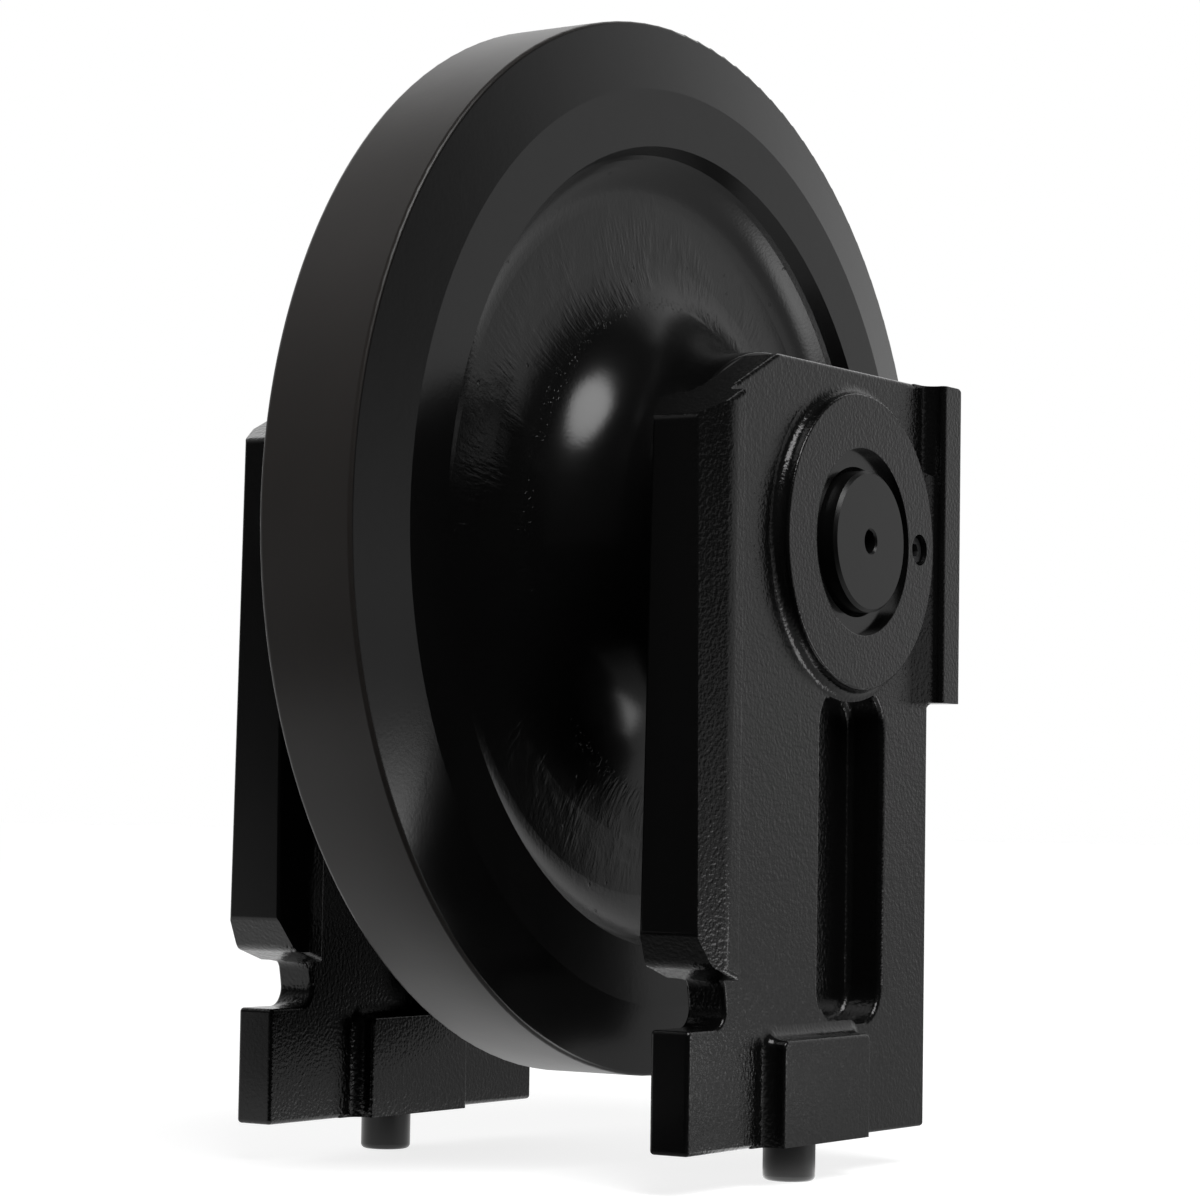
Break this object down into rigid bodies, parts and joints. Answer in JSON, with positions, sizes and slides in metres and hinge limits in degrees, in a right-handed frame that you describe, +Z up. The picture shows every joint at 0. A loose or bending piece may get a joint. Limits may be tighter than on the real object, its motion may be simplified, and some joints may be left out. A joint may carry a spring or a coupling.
{
  "type": "excavator front idler",
  "caption": "Front idler wheel for a small crawler excavator: a dished cast wheel on a fixed greased axle between two guide brackets.",
  "frame": {"origin": "centre of the wheel, on the axle", "axes": "+X along the axle to the right bracket, +Y towards the brackets' back guide rails, +Z up"},
  "size_m": [0.2256, 0.4199, 0.454],
  "materials": {
    "wheel_paint": "satin black paint on cast and machined steel",
    "bracket_paint": "satin black paint on cast steel",
    "axle_paint": "satin black paint on turned steel",
    "pin_paint": "satin black paint on turned steel",
    "fastener_steel": "blackened steel",
    "seal_steel": "lapped alloy iron",
    "bush_bronze": "machined bronze",
    "rubber": "matt"
  },
  "bodies": {
    "carrier": {"shaft": "axle_paint", "oil_plug": "fastener_steel", "bracket_right": "bracket_paint", "bracket_left": "bracket_paint", "fixed_seal_ring_right": "seal_steel", "fixed_seal_ring_left": "seal_steel", "fixed_seal_toric_right": "rubber", "fixed_seal_toric_left": "rubber", "shaft_oring_right": "rubber", "shaft_oring_left": "rubber", "lock_pin_right": "fastener_steel", "lock_pin_left": "fastener_steel", "lock_screw_right": "fastener_steel", "lock_screw_left": "fastener_steel", "mounting_pin_right": "pin_paint", "mounting_pin_left": "pin_paint"},
    "wheel": {"idler_wheel": "wheel_paint", "bush_right": "bush_bronze", "bush_left": "bush_bronze", "rotating_seal_ring_right": "seal_steel", "rotating_seal_ring_left": "seal_steel", "rotating_seal_toric_right": "rubber", "rotating_seal_toric_left": "rubber"}
  },
  "joints": [
    {"name": "wheel_spin", "type": "hinge", "parent": "carrier", "child": "wheel", "pos_m": [0, 0, 0], "axis": [1, 0, 0], "continuous": true}
  ]
}
